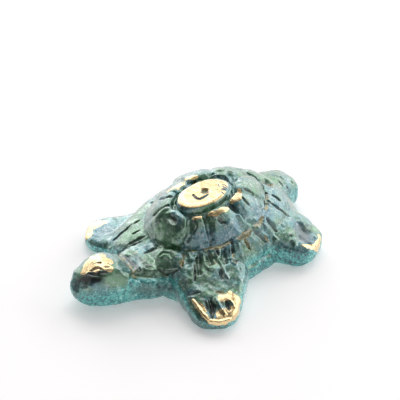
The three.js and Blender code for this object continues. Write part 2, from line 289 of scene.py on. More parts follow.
# %% Colours
PATINA_TONES = (
    (0.32, (0.055, 0.170, 0.210)), (0.44, (0.070, 0.215, 0.210)),
    (0.54, (0.075, 0.190, 0.110)), (0.66, (0.120, 0.280, 0.150)),
)
CRUST_TONES = (
    (0.40, (0.004, 0.060, 0.085)), (0.47, (0.018, 0.255, 0.270)),
    (0.53, (0.060, 0.520, 0.480)), (0.62, (0.380, 0.810, 0.740)),
)
OCHRE_TONES = ((0.40, (0.048, 0.052, 0.020)), (0.52, (0.185, 0.182, 0.060)), (0.62, (0.540, 0.495, 0.220)))
BLOOM = (0.42, 0.50, 0.49)  # pale grains on the patina
# near black: soot in the cuts, and painted shade in creases, pits, pockets and valleys
SOOT_AND_SHADE = (0.008, 0.011, 0.009)
BROWN = (0.040, 0.020, 0.012)  # the dark edge round bare metal
BRONZE = (0.82, 0.61, 0.30)
DULL_BRONZE = (0.50, 0.32, 0.11)
print("tones of patina, crust and ochre:", len(PATINA_TONES), len(CRUST_TONES), len(OCHRE_TONES))

# %% [markdown]
# ## Layers of the finish
# Such a finish is built up in layers: acid patina on hot metal, crust, dirt rubbed into the hollows, and
# then a rub with a pad that lays the metal bare. The nodes follow that order. Patterns read Object
# coordinates, so they run on from piece to piece, and painted numbers say where a layer lies.

# %% Layers of the finish
CLOUD_SIZE, MOTTLE_SIZE, SAND_SIZE = 8, 1.3, 0.5  # of the noise, in millimetres
BLOOM_FROM, BLOOM_FULL, BLOOM_MOST = 0.50, 0.61, 0.8
DRIFT = 0.2  # how much the clouds darken and brighten the crust
DIRT_FROM, DIRT_FULL = 0.40, 0.62
UNEVEN_WEAR = 0.6
EDGE_FROM, EDGE_FULL, EDGE_MOST = 0.34, 0.42, 0.9
BARE_FROM, BARE_FULL = 0.46, 0.54


def surface_grain(tree):
    """Clouds, mottle, and specks that are half mottle and half sand."""
    place = tree.nodes.new("ShaderNodeTexCoord").outputs["Object"]
    clouds = grain(tree, place, CLOUD_SIZE, detail=4, roughness=0.6)
    mottle = grain(tree, place, MOTTLE_SIZE, detail=5, roughness=0.7)
    sand = grain(tree, place, SAND_SIZE, detail=3, roughness=0.7)
    specks = maths(tree, "ADD", maths(tree, "MULTIPLY", mottle, 0.5), maths(tree, "MULTIPLY", sand, 0.5))
    return clouds, mottle, specks


def coloured_skin(tree, clouds, mottle, specks):
    """The colour of patina, crust, soot with painted shade, and ochre, and the share of ochre."""
    patina = tone_ramp(tree, maths(tree, "ADD", clouds, swing(tree, painted(tree, "hue"))), PATINA_TONES)
    patina = mixed(tree, fade(tree, specks, BLOOM_FROM, BLOOM_FULL, BLOOM_MOST), patina, BLOOM)
    crust = tone_ramp(tree, maths(tree, "ADD", specks, swing(tree, clouds, DRIFT)), CRUST_TONES)
    skin = mixed(tree, painted(tree, "band"), patina, crust)
    # the `dark` paint lays soot and painted shade over the skin
    skin = mixed(tree, painted(tree, "dark"), skin, SOOT_AND_SHADE)
    patches = maths(tree, "ADD", painted(tree, "ochre"), swing(tree, mottle))
    dirt = fade(tree, patches, DIRT_FROM, DIRT_FULL)
    return mixed(tree, dirt, skin, tone_ramp(tree, specks, OCHRE_TONES)), dirt


def wear(tree, mottle):
    """The share of bare metal, and the share of the wider dark edge round it."""
    worn = maths(tree, "ADD", painted(tree, "rub"), swing(tree, mottle, UNEVEN_WEAR))
    return fade(tree, worn, BARE_FROM, BARE_FULL), fade(tree, worn, EDGE_FROM, EDGE_FULL, EDGE_MOST)


print("sizes of the grain:", CLOUD_SIZE, MOTTLE_SIZE, SAND_SIZE, "mm")

# %% [markdown]
# ## The finish
# One recipe serves the whole turtle, because the real one has one skin. Patina is nearly as metallic as
# the bronze under it, crust and dirt are not. Clear lacquer lies over all of it, as a strong coat, and a
# fine bump breaks up its shine. The frame's three slots each get their own material of this recipe.

# %% The finish
PATINA_METAL, CRUST_METAL, DIRT_METAL = 0.92, 0.35, 0.2
DULL_BELOW, CLEAN_ABOVE = 0.38, 0.46  # specks on the bare metal
PATINA_ROUGHNESS = ((0.38, grey(0.28)), (0.62, grey(0.52)))
BARE_ROUGHNESS = 0.26
BUMP_STRENGTH, BUMP_HEIGHT = 0.6, 0.2
LACQUER_ROUGHNESS, LACQUER_IOR = 0.2, 1.8


def finish(name):
    material = bpy.data.materials.new(name)
    material.use_nodes = True
    tree = material.node_tree
    sockets = tree.nodes["Principled BSDF"].inputs
    clouds, mottle, specks = surface_grain(tree)
    skin, dirt = coloured_skin(tree, clouds, mottle, specks)
    bare, edge = wear(tree, mottle)
    bronze = mixed(tree, fade(tree, specks, DULL_BELOW, CLEAN_ABOVE), DULL_BRONZE, BRONZE)
    skin = mixed(tree, edge, skin, BROWN)
    tree.links.new(mixed(tree, bare, skin, bronze), sockets["Base Color"])
    metal = mixed(tree, painted(tree, "band"), grey(PATINA_METAL), grey(CRUST_METAL))
    metal = mixed(tree, dirt, metal, grey(DIRT_METAL))
    tree.links.new(mixed(tree, bare, metal, grey(1)), sockets["Metallic"])
    rough = tone_ramp(tree, specks, PATINA_ROUGHNESS)
    tree.links.new(mixed(tree, bare, rough, grey(BARE_ROUGHNESS)), sockets["Roughness"])
    bump = tree.nodes.new("ShaderNodeBump")
    bump.inputs["Strength"].default_value = BUMP_STRENGTH
    bump.inputs["Distance"].default_value = BUMP_HEIGHT * MM
    tree.links.new(specks, bump.inputs["Height"])
    tree.links.new(bump.outputs["Normal"], sockets["Normal"])
    sockets["Coat Weight"].default_value = 1.0
    sockets["Coat Roughness"].default_value = LACQUER_ROUGHNESS
    sockets["Coat IOR"].default_value = LACQUER_IOR
    return material


FINISHES = {slot: finish(slot) for slot in ("patina", "verdigris", "polished")}
print("finishes:", ", ".join(FINISHES))

# %% [markdown]
# ## Paint and hand-over
# Noise alone can't know where a hand rubbed or where dirt settled, so every point of a piece carries five
# painted numbers: `rub` for metal rubbed bright, `dark` for soot and painted shade in a cut, `ochre` for
# dirt beside it, `band` for the turquoise crust on the walls, and `hue` for bluer or greener patina. The
# last step of each piece is always the same: smooth shading, its finish, its body, and the node that it
# stands for.

# %% Paint and hand-over
PAINTS = {"rub": 0.0, "dark": 0.0, "ochre": 0.0, "band": 0.0, "hue": 0.5}  # with the value of plain metal
SMOOTH_BELOW = math.radians(60)


def paint(piece, name, values):
    layer = piece.data.attributes.get(name) or piece.data.attributes.new(name, "FLOAT", "POINT")
    layer.data.foreach_set("value", np.clip(values, 0, 1).astype(np.float32))


def hand_over(piece, slot):
    alone(piece)
    bpy.ops.object.shade_smooth_by_angle(angle=SMOOTH_BELOW)
    for name, plain in PAINTS.items():
        if name not in piece.data.attributes:
            paint(piece, name, np.full(len(piece.data.vertices), plain))
    piece.data.materials.clear()
    piece.data.materials.append(FINISHES[slot])
    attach(piece, "root")
    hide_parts(piece.name.removesuffix("_bronze"))
    print(piece.name, len(piece.data.polygons), "faces")


print("paints:", ", ".join(PAINTS))

# %% [markdown]
# ## Rings and curves
# The plate, the rim, the groove and the crown are all egg-shaped: the front and the rear half have their
# own length and squareness. A squared ellipse is one formula, so no outline has to be traced. Heights and
# widths follow a soft curve through a few stations, as a boat builder bends a batten.

# %% Rings and curves
Ring = namedtuple("Ring", "x y half_width front rear front_square rear_square")


def signed_power(value, power):
    return np.sign(value) * np.abs(value) ** power


def oval(ring, angle):
    cosine, sine = np.cos(angle), np.sin(angle)
    in_rear = sine > 0
    power = 2 / np.where(in_rear, ring.rear_square, ring.front_square)
    x = ring.x + ring.half_width * signed_power(cosine, power)
    y = ring.y + np.where(in_rear, ring.rear, ring.front) * signed_power(sine, power)
    return x, y


def node_ring(node, front_square, rear_square):
    """The ring round a node of the frame."""
    low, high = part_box(node)
    centre, half = (low + high) / 2 / MM, (high - low) / 2 / MM
    return Ring(centre.x, centre.y, half.x, half.y, half.y, front_square, rear_square)


def through(knots, at):
    """A soft curve through (place, value) pairs."""
    places, values = np.array(knots, float).T
    slopes = np.gradient(values, places)
    before = np.clip(np.searchsorted(places, at) - 1, 0, len(places) - 2)
    after = before + 1
    length = places[after] - places[before]
    share = np.clip((at - places[before]) / length, 0, 1)
    rest = 1 - share
    ends = (1 + 2 * share) * rest ** 2 * values[before] + share ** 2 * (3 - 2 * share) * values[after]
    bend = share * rest ** 2 * slopes[before] - share ** 2 * rest * slopes[after]
    return ends + length * bend


PLATE = node_ring("plastron", 3.8, 3.4)
RIM = node_ring("carapace", 3.4, 2.7)
CROWN = node_ring("crown", 2.0, 2.0)
print("half widths of plate, rim and crown:", *(round(ring.half_width, 1) for ring in (PLATE, RIM, CROWN)))

# %% [markdown]
# ## Plate of wax
# The real turtle is one piece of wax before it is cast, and its forms run into each other as if smoothed
# with a warm finger. So all forms are first made as rough blanks, then fused, smoothed and carved as one,
# and only cut apart at the end. The first blank is the flat plate under the body: a cylinder with a
# finely cut wall, pressed to the egg shape and rounded at its edges.

# %% Plate of wax
PLATE_TOP = 5.2
# height on the wall, and how far the wall stands out there
PLATE_WALL = [(0, -1.1), (0.25, -0.7), (0.9, -0.3), (2.4, 0), (4.2, -0.3), (PLATE_TOP, -1.5)]
SLAB_SIDES = 160


def slab(name, cuts):
    """A round slab between the heights -1 and 1, with this many cuts round its wall."""
    deselect()
    bpy.ops.mesh.primitive_cylinder_add(vertices=SLAB_SIDES, radius=1, depth=2, end_fill_type="NGON")
    blank = bpy.context.object
    blank.name = name
    for edge in blank.data.edges:
        first, second = (blank.data.vertices[end].co for end in edge.vertices)
        edge.select = abs(first.z - second.z) > 1
    bpy.ops.object.mode_set(mode="EDIT")
    bpy.ops.mesh.select_mode(type="EDGE")
    bpy.ops.mesh.subdivide(number_cuts=cuts)
    bpy.ops.object.mode_set(mode="OBJECT")
    return blank


plate = slab("wax_turtle", cuts=16)
slab_points = points_of(plate)
plate_height = (slab_points[:, 2] + 1) / 2 * PLATE_TOP
plate_x, plate_y = oval(PLATE, np.arctan2(slab_points[:, 1], slab_points[:, 0]))
overhang = through(PLATE_WALL, plate_height)
plate_x += overhang * (plate_x - PLATE.x) / PLATE.half_width
plate_y += overhang * (plate_y - PLATE.y) / PLATE.front
set_points(plate, np.stack([plate_x, plate_y, plate_height], 1) * MM)
blanks = [plate]
print("plate:", len(plate.data.vertices), "points")

# %% [markdown]
# ## Head, legs and tail
# Each limb is a lump of wax drawn out from the body: broad at its root, flat below, rounded above and
# blunt at its tip. A ball gives such a closed form. Its poles become root and tip, and its rings take
# their widths and heights from a few stations along the way.

# %% Shapes of the limbs
Limb = namedtuple("Limb", "root tip stations")
# a station: share of the way, half width to the right and to the left, lowest and highest point
LEFT_FRONT_LEG = [(0, 12, 12, 0, 11.2), (0.22, 10.3, 10.2, 0, 9.8), (0.46, 8.4, 8.4, 0, 7.9),
                  (0.7, 6.9, 6.6, 0, 6.0), (0.89, 5.2, 4.9, 0.1, 4.7), (1, 3.7, 3.2, 0.6, 4.0)]
RIGHT_FRONT_LEG = [(0, 12, 12, 0, 5.9), (0.22, 10.2, 10.2, 0, 5.4), (0.46, 8.4, 8.2, 0, 4.8),
                   (0.7, 6.9, 6.7, 0, 4.4), (0.89, 5.6, 5.5, 0.1, 4.1), (1, 4.4, 4.2, 0.6, 3.7)]
HIND_LEG = [(0, 9, 9, 0, 11.0), (0.22, 8.6, 8.8, 0, 9.8), (0.46, 8.0, 8.6, 0, 8.4),
            (0.7, 7.0, 7.6, 0, 6.9), (0.89, 6.0, 6.4, 0.1, 5.8), (1, 4.6, 4.8, 0.6, 5.0)]
TAIL = [(0, 8.6, 8.6, 0, 10.6), (0.22, 7.6, 7.6, 0, 10.4), (0.46, 6.3, 6.3, 0, 9.9),
        (0.7, 5.4, 5.4, 0, 9.2), (0.89, 4.7, 4.7, 0, 8.3), (1, 3.4, 3.4, 0.4, 7.2)]
HEAD = [(0, 10.5, 10.4, 0, 9.2), (0.26, 8.2, 8.5, 0, 9.0), (0.39, 6.5, 7.1, 0, 9.2),
        (0.53, 5.9, 6.5, 0, 11.4), (0.67, 6.1, 6.0, 0.1, 12.3), (0.81, 5.5, 5.2, 0.8, 11.3),
        (0.92, 4.3, 4.0, 1.8, 9.2), (1, 2.5, 2.4, 3.2, 7.0)]
LIMBS = {
    "head": Limb((0.2, -13.0), (-7.3, -38.9), HEAD),
    "front_left_leg": Limb((11.2, -7.4), (27.1, -19.1), LEFT_FRONT_LEG),
    "front_right_leg": Limb((-13.4, -6.8), (-26.9, -16.2), RIGHT_FRONT_LEG),
    "hind_left_leg": Limb((9.8, 17.4), (23.6, 22.2), HIND_LEG),
    "hind_right_leg": Limb((-13.2, 17.4), (-24.9, 22.7), HIND_LEG),
    "tail": Limb((-2.2, 24.0), (-2.2, 38.8), TAIL),
}
print("limbs:", ", ".join(LIMBS))

# %% Limbs of wax
LIMB_WIDE, LIMB_BELOW, LIMB_ABOVE = 0.65, 0.35, 0.62  # powers of a section: 1 is round, near 0 is square
LIMB_BLUNT = 7  # power: the higher, the blunter the tip


def ball(name, segments, rings):
    deselect()
    bpy.ops.mesh.primitive_uv_sphere_add(segments=segments, ring_count=rings, radius=1)
    bpy.context.object.name = name
    return bpy.context.object


def limb_axis(limb):
    """Root, the run from root to tip, and the direction ahead, in plan."""
    root = np.array(limb.root)
    run = np.array(limb.tip) - root
    return root, run, run / np.linalg.norm(run)


def wax_limb(limb):
    blank = ball("limb", segments=56, rings=60)
    points = points_of(blank)
    share = (points[:, 2] + 1) / 2
    fullness = np.clip(1 - np.abs(points[:, 2]) ** LIMB_BLUNT, 0, 1) ** (1 / 3)
    turn = np.arctan2(points[:, 1], points[:, 0])
    shares, *columns = zip(*limb.stations)
    to_right, to_left, low, high = (through(list(zip(shares, column)), share) for column in columns)
    half_width = np.where(np.cos(turn) > 0, to_left, to_right)
    wide = half_width * fullness * signed_power(np.cos(turn), LIMB_WIDE)
    curve = np.where(turn < 0, LIMB_BELOW, LIMB_ABOVE)
    height = (low + high) / 2 + (high - low) / 2 * signed_power(np.sin(turn), curve) * fullness
    root, run, ahead = limb_axis(limb)
    left = np.array([-ahead[1], ahead[0]])
    flat = root + share[:, None] * run + wide[:, None] * left
    set_points(blank, np.column_stack([flat, height]) * MM)
    return blank


blanks += [wax_limb(limb) for limb in LIMBS.values()]
print("blanks of the underbody:", len(blanks))

# %% [markdown]
# ## The shell's surface
# The shell is easiest to draw when it is unrolled: one number is the angle round it, the other climbs
# from the rim (0) over the groove between its two tiers (1) and the moat round the crown (2) to the
# middle (3). Two tiers show on the turtle's left and rear; to the right of the neck the step fades, and
# dome and skirt are one slope.

# %% The shell's surface
GROOVE = Ring(-2.2, 7.0, 14.7, 20.0, 16.6, 2.2, 1.7)
MOAT = Ring(0.0, 2.3, 6.3, 9.8, 10.0, 2.0, 2.0)
CENTRE = Ring(0.0, 2.3, 0.0, 0.0, 0.0, 2.0, 2.0)
SHELL_RINGS = np.array([RIM, GROOVE, MOAT, CENTRE])
SHELL_RISE = 0.1  # the groove climbs towards the tail, per millimetre of length
STEPPED = [(0, 5.0), (0.06, 6.4), (0.16, 7.8), (0.3, 9.4), (0.5, 11.0), (0.7, 12.0), (0.86, 12.1),
           (0.97, 11.7), (1, 11.5)]
SLOPED = [(0, 4.6), (0.06, 5.4), (0.16, 6.4), (0.3, 7.6), (0.5, 9.0), (0.7, 10.2), (0.86, 11.0),
          (0.97, 11.5), (1, 11.6)]
GROOVE_HEIGHT, MOAT_HEIGHT = 11.4, 17.6
TIER_ANGLES = (-180, -160, -100, -78, 100, 125, 150, 180)
TIER_STEPS = (0.25, 0.05, 0.05, 1.0, 1.0, 0.6, 0.3, 0.25)


def blend(first, second, share):
    return first + (second - first) * share


def tier(angle):
    """How much of a step there is between the tiers."""
    return np.interp((np.degrees(angle) + 180) % 360 - 180, TIER_ANGLES, TIER_STEPS)


def shell_points(angle, climb):
    """The bare shell, without ribs and scutes, in millimetres."""
    ring = Ring(*(np.interp(climb, range(len(SHELL_RINGS)), column) for column in SHELL_RINGS.T))
    x, y = oval(ring, angle)
    skirt, dome = np.clip(climb, 0, 1), np.clip(climb - 1, 0, 1)
    on_skirt = blend(through(SLOPED, skirt), through(STEPPED, skirt), tier(angle))
    on_skirt += SHELL_RISE * skirt * (y - RIM.y)
    on_dome = GROOVE_HEIGHT + (MOAT_HEIGHT - GROOVE_HEIGHT) * np.sin(dome * math.pi / 2)
    on_dome += SHELL_RISE * (1 - dome) * (y - RIM.y)
    return np.stack([x, y, np.where(climb < 1, on_skirt, on_dome)], 1)


def shell_normals(angle, climb):
    step = 0.01
    along = shell_points(angle + step, climb) - shell_points(angle - step, climb)
    upwards = shell_points(angle, climb + step) - shell_points(angle, np.maximum(climb - step, 0))
    normal = np.cross(along, upwards)
    return normal / np.maximum(np.linalg.norm(normal, axis=1), 1e-9)[:, None]


left_groove = shell_points(np.array([0.0]), np.array([1.0]))[0]
print("groove on the turtle's left, x y z:", left_groove.round(1))

# %% [markdown]
# ## Shell, boss and oval
# Half a ball makes the shell: its rings are laid out by climb, and its rim is pulled down into the plate,
# so that no gap is left when the wax is fused. Two flattened balls sit on it: the round boss of the front
# scute, and the raised oval over the neck.

# %% Shell, boss and oval
SHELL_FOOT = 2.5  # the shell's wax reaches down into the plate's
AT_RIM = 0.001
BALL_RISE = (0, 0.7, 0.9, 1)  # the way up the half ball
SHELL_CLIMB = (0, 1.1, 2.05, 3)  # and the climb that it gives
Lump = namedtuple("Lump", "angle climb half_width half_length height")
BOSS = Lump(-82, 1.5, 5.3, 5.2, 2.1)  # the round boss on the front scute
NUCHAL = Lump(-71, 0.52, 4.3, 3.3, 0.9)  # the raised oval over the neck


def half_ball(name, segments, rings):
    blank = ball(name, segments, rings * 2)
    bpy.ops.object.mode_set(mode="EDIT")
    bpy.ops.mesh.select_all(action="SELECT")
    bpy.ops.mesh.bisect(plane_co=(0, 0, 0), plane_no=(0, 0, 1), use_fill=True, clear_inner=True)
    bpy.ops.object.mode_set(mode="OBJECT")
    return blank


def polar(blank):
    """Angle round the half ball, and the way up from its rim (0) to its pole (1)."""
    points = points_of(blank)
    points /= np.linalg.norm(points, axis=1)[:, None]
    return np.arctan2(points[:, 1], points[:, 0]), np.arcsin(np.clip(points[:, 2], 0, 1)) / (math.pi / 2)


def wax_shell():
    blank = half_ball("shell", segments=120, rings=32)
    angle, rise = polar(blank)
    points = shell_points(angle, np.interp(rise, BALL_RISE, SHELL_CLIMB))
    points[rise < AT_RIM, 2] = SHELL_FOOT
    set_points(blank, points * MM)
    return blank


def lump_on_shell(lump, spread=0.0):
    """A flattened ball whose middle lies on the bare shell."""
    blank = ball("lump", segments=48, rings=32)
    angle, climb = np.array([math.radians(lump.angle)]), np.array([lump.climb])
    seat, normal = shell_points(angle, climb)[0], shell_normals(angle, climb)[0]
    sideways = np.cross([0, 0, 1], normal)
    sideways /= np.linalg.norm(sideways)
    axes = np.array([sideways, np.cross(normal, sideways), normal])
    half = np.array([lump.half_width, lump.half_length, lump.height]) + spread
    set_points(blank, (seat + (points_of(blank) * half) @ axes) * MM)
    return blank


blanks += [wax_shell(), lump_on_shell(BOSS), lump_on_shell(NUCHAL)]
print("blanks with the shell:", len(blanks))

# %% [markdown]
# ## Scutes
# Nine scutes lie on the dome like pillows, between creases that lean a little. A cube cut into small
# squares is wrapped onto the dome between two creases, and its top is raised: high in the middle, falling
# off to the creases and the groove where the shell has tiers, and running on flat where it is one slope.
# The same block, left tall and plain, serves later to cut the scute out of the wax.

# %% Scutes
Scute = namedtuple("Scute", "groove lip thick")  # its left edge: degrees at the groove and at the lip
SCUTES = {
    "front_scute": Scute(-121, -113, 1.5), "left_scute_1": Scute(-63, -60, 1.5),
    "left_scute_2": Scute(-36, -32, 1.9), "left_scute_3": Scute(-2, 11, 1.8),
    "left_scute_4": Scute(43, 47, 1.8), "right_scute_4": Scute(90, 90, 2.4),
    "right_scute_3": Scute(138, 136, 2.5), "right_scute_2": Scute(182, 176, 1.6),
    "right_scute_1": Scute(214, 205, 1.4),
}
LAST_EDGE = Scute(239, 247, 0)
SCUTE_EDGES = [*SCUTES.values(), LAST_EDGE]
SCUTE_FOOT, SCUTE_LIP = 1.07, 2.0  # climb
SCUTE_SUNK, SCUTE_REACH = 0.6, 6.0  # depth under the dome, and height of the plain block
# on the slope: fall at the sides and the power that keeps it near the edge, and what is left at the foot
SIDE_FALL, SIDE_FLAT, FOOT_LEAST = 0.25, 14, 0.12
# on the tiers: powers of the sides and the foot, and how steeply the foot rises
SIDE_ROUND, FOOT_ROUND, FOOT_STEEP = 0.4, 2.2, 3.2
# on both: where the lip starts, its length, its power, and what is left of the thickness at its edge
LIP_FROM, LIP_LENGTH, LIP_ROUND, LIP_LEAST = 0.81, 0.19, 6, 0.35
SWELL_FOOT, SWELL_MORE = 0.8, 0.4  # share of the thickness at the foot, and what the lip has more


def ramp(value, low, high):
    """0 below low, 1 above high, soft in between."""
    share = np.clip((value - low) / (high - low), 0, 1)
    return share * share * (3 - 2 * share)


def pillow(across, share, step):
    """Height of a scute as a share of its thickness: across from -1 to 1, and share from groove to lip."""
    flat_side = 1 - SIDE_FALL * np.abs(across) ** SIDE_FLAT
    round_side = np.clip(1 - across ** 2, 0, 1) ** SIDE_ROUND
    flat_foot = blend(FOOT_LEAST, 1, ramp(share, -0.2, 0.95))
    steep_foot = np.sqrt(np.clip(1 - np.clip(1 - share * FOOT_STEEP, 0, 1) ** FOOT_ROUND, 0, 1))
    lip = np.sqrt(np.clip(1 - np.clip((share - LIP_FROM) / LIP_LENGTH, 0, 1) ** LIP_ROUND, 0, 1))
    form = blend(flat_side, round_side, step) * blend(flat_foot, steep_foot, step)
    return form * (SWELL_FOOT + SWELL_MORE * share) * blend(LIP_LEAST, 1, lip)


def scute_block(name, cuts, rounded):
    number = list(SCUTES).index(name)
    edges = SCUTE_EDGES[number:number + 2]
    deselect()
    bpy.ops.mesh.primitive_cube_add(size=2)
    block = bpy.context.object
    bpy.ops.object.mode_set(mode="EDIT")
    bpy.ops.mesh.subdivide(number_cuts=cuts)
    bpy.ops.object.mode_set(mode="OBJECT")
    across, share, level = points_of(block).T
    share = (share + 1) / 2
    climb = blend(SCUTE_FOOT, SCUTE_LIP, share)
    first, second = (np.radians(blend(edge.groove, edge.lip, climb - 1)) for edge in edges)
    angle = blend(first, second, (across + 1) / 2)
    if rounded:
        top = SCUTES[name].thick * pillow(across, share, tier(angle))
    else:
        top = SCUTE_REACH
    height = blend(-SCUTE_SUNK, top, (level + 1) / 2)
    set_points(block, (shell_points(angle, climb) + shell_normals(angle, climb) * height[:, None]) * MM)
    alone(block)
    bpy.ops.object.mode_set(mode="EDIT")
    bpy.ops.mesh.select_all(action="SELECT")
    bpy.ops.mesh.normals_make_consistent(inside=False)
    bpy.ops.object.mode_set(mode="OBJECT")
    return block


blanks += [scute_block(name, cuts=24, rounded=True) for name in SCUTES]
print("blanks in all:", len(blanks))

# %% [markdown]
# ## One piece of wax
# The blanks are joined, fused by a voxel remesh and smoothed until every step between them is a soft
# valley. Two layers of lumps, coarse and fine, take away the evenness of a machine.

# %% Fuse the wax
VOXEL = 0.24
SMOOTH_ROUNDS = 20
COARSE_LUMPS, FINE_LUMPS = (5.0, 0.3), (2.0, 0.16)  # size and height


def uneven(piece, size, height):
    """Hand-made unevenness: dents and bumps of a size and a height in millimetres."""
    lumps = bpy.data.textures.new("lumps", "CLOUDS")
    lumps.noise_scale = size * MM
    lumps.noise_depth = 1
    apply(piece, "DISPLACE", texture=lumps, texture_coords="LOCAL", strength=2 * height * MM, mid_level=0.5)


deselect()
for blank in blanks:
    blank.select_set(True)
wax = plate
bpy.context.view_layer.objects.active = wax
bpy.ops.object.join()
wax.data.remesh_voxel_size = VOXEL * MM
bpy.ops.object.voxel_remesh()
apply(wax, "SMOOTH", factor=0.5, iterations=SMOOTH_ROUNDS)
uneven(wax, *COARSE_LUMPS)
uneven(wax, *FINE_LUMPS)
print("wax turtle:", len(wax.data.polygons), "faces")

# %% [markdown]
# ## Strokes on the dome
# The maker's tool left strokes, pits and ridges all over the wax. They could be sculpted with a brush;
# written down as lines they stay easy to move. A stroke is a line in plan with a radius and a depth in
# millimetres, read off the photograph. A negative depth draws wax out, and none only colours. A stroke is
# darkened (`dark`) by soot and by painted shade in its hollow, and ochre lies on its edges (`ochre`). The
# first ones are the creases and marks of the scutes.

# %% Strokes on the dome
Cut = namedtuple("Cut", "path radius depth dark ochre")
DOME_CUTS = [
    Cut([(0.6, -10.0), (1.2, -10.2)], 1.7, 1.1, 0.8, 0.4),  # dimple of the boss
    Cut([(3.4, -6.2), (5.1, -7.6), (5.9, -9.7)], 1.8, 0.6, 0.1, 0.1),  # crease beside the boss
    Cut([(-3.6, -11.6), (-2.8, -8.6)], 2.4, -0.8, 0, 0),  # where the boss melts into the slope
    Cut([(5.4, -6.4), (6.6, -6.7), (6.7, -7.9)], 0.5, 0.35, 0.6, 0.8),  # crescent
    Cut([(5.4, -2.6), (6.6, -3.3), (8.0, -3.4), (9.9, -4.4)], 1.6, 0.5, 0.1, 0),  # first crease
    Cut([(5.4, -2.6), (6.6, -3.3)], 0.7, 0.4, 0.8, 0),
    Cut([(9.5, -0.8), (10.0, -0.5)], 1.2, 0.8, 0.9, 0.4),  # pit
    Cut([(6.9, 4.9), (8.1, 5.2), (9.3, 5.2)], 1.2, 0.9, 0.3, 0.1),  # second crease
    Cut([(6.9, 4.9), (8.1, 5.2), (9.3, 5.2)], 0.8, 0.5, 0.9, 0),
    Cut([(10.2, 5.0), (11.2, 5.4), (12.2, 6.0)], 1.6, -0.7, 0, 0),  # where it ends
    Cut([(7.5, 9.2), (8.7, 9.3), (9.7, 9.7)], 0.4, 0.4, 0.9, 0),  # short strokes
    Cut([(5.0, 12.6), (6.2, 14.4)], 0.5, 0.4, 0.8, 0),
    Cut([(-2.3, 14.0), (-1.7, 15.2)], 0.5, 0.4, 0.8, 0),
    Cut([(-3.4, 18.5), (-3.2, 20.2)], 0.5, 0.4, 0.8, 0),
    Cut([(-7.7, -9.2), (-6.1, -8.7), (-4.6, -7.9), (-3.6, -6.8)], 0.65, 0.7, 0.95, 0),  # beside the boss
    Cut([(-10.0, -4.7), (-7.3, -4.9), (-5.7, -3.9)], 0.6, 0.6, 0.95, 0),
]
print("strokes on the dome:", len(DOME_CUTS))

# %% [markdown]
# ## Groove and moat
# A soft fillet fills the foot of the dome, and the moat round the crown is shallow, so both get wax along
# a line round the bare shell. Behind the crown the lips of the scutes are pressed lower. Ochre dirt lies
# in stretches of the groove.

# %% Groove and moat
def round_shell(first, last, step, climb):
    """A line round the bare shell between two angles in degrees."""
    angle = np.radians(np.arange(first, last + 1, step))
    return shell_points(angle, np.full(len(angle), climb))


FAR_LIPS = round_shell(65, 135, 10, 1.9) + (0, 0, 2.2)
GROOVE_CUTS = [
    Cut(round_shell(-80, 100, 12, 0.97), 2.3, -1.0, 0, 0),  # fillet
    Cut(round_shell(30, 220, 10, 2.16), 1.7, -2.1, 0, 0),  # far moat
    Cut(round_shell(-120, 30, 10, 2.12), 1.2, -0.8, 0, 0),  # near moat
    Cut(FAR_LIPS, 2.4, 0.7, 0, 0),
    Cut([(6.6, -10.3), (8.2, -8.9)], 0.8, 0.15, 0.1, 1.0),  # dirt in the groove
    Cut([(9.7, -7.1), (11.5, -3.8), (12.8, -0.1)], 0.9, 0.1, 0, 1.0),
    Cut([(13.3, 1.9), (13.6, 4.4), (13.4, 6.4)], 0.8, 0.15, 0.1, 1.0),
    Cut([(13.1, 8.6), (12.9, 10.4), (12.2, 12.2)], 0.7, 0.2, 0.1, 1.0),
    Cut([(10.6, 15.0), (9.2, 17.0)], 0.8, 0.2, 0.2, 1.0),
    Cut([(7.4, 18.6), (5.8, 19.8)], 0.8, 0.2, 0.2, 1.0),
]
print("strokes in groove and moat:", len(GROOVE_CUTS))

# %% [markdown]
# ## Strokes over the neck
# To the right of the neck long strokes run down the slope. The valley under the rim holds dirt and painted
# shade, the edge of the plate is rounded off under the neck, and the raised oval has a cut below it and a
# fine line on top.

# %% Strokes over the neck
FRONT_CUTS = [
    Cut([(-15.9, -16.2), (-14.6, -12.5), (-13.4, -8.7)], 0.55, 0.5, 0.85, 0),  # strokes of the slope
    Cut([(-11.1, -13.6), (-10.1, -11.8)], 0.5, 0.45, 0.9, 0),
    Cut([(-9.4, -16.4), (-6.7, -12.3)], 0.6, 0.4, 0.6, 0.2),
    Cut([(-11.1, -19.2), (-7.9, -15.9), (-4.6, -12.4)], 0.6, 0.4, 0.6, 0.3),
    Cut([(-5.5, -17.1), (-4.8, -12.7)], 0.6, 0.4, 0.5, 0.2),
    Cut([(-2.7, -16.8), (-0.9, -14.1)], 0.6, 0.4, 0.5, 0.2),
    Cut([(-3.0, -19.6), (2.5, -20.4)], 2.8, 0, 0.5, 0.5),  # dirt and painted shade in the valley
    Cut([(2.4, -24.6), (4.2, -22.6), (6.8, -20.0)], 3.5, 1.2, 0.2, 0.2),  # the edge under the neck
    Cut([(4.5, -19.0), (6.8, -18.2), (8.9, -16.3)], 0.9, 0.5, 0.7, 0.5),  # under the oval
    Cut([(2.6, -16.6), (2.9, -15.5), (4.4, -14.8), (6.1, -15.2), (6.9, -16.2)], 0.6, 0.25, 0.2, 0.2),
]
print("strokes over the neck:", len(FRONT_CUTS))

# %% [markdown]
# ## Blocks of the skirt
# On the left the skirt is divided into blocks by furrows, with pockets pressed in between and ridges of
# wax pushed up beside them. Furrow, pocket and ridge are strokes of different radius and sign.

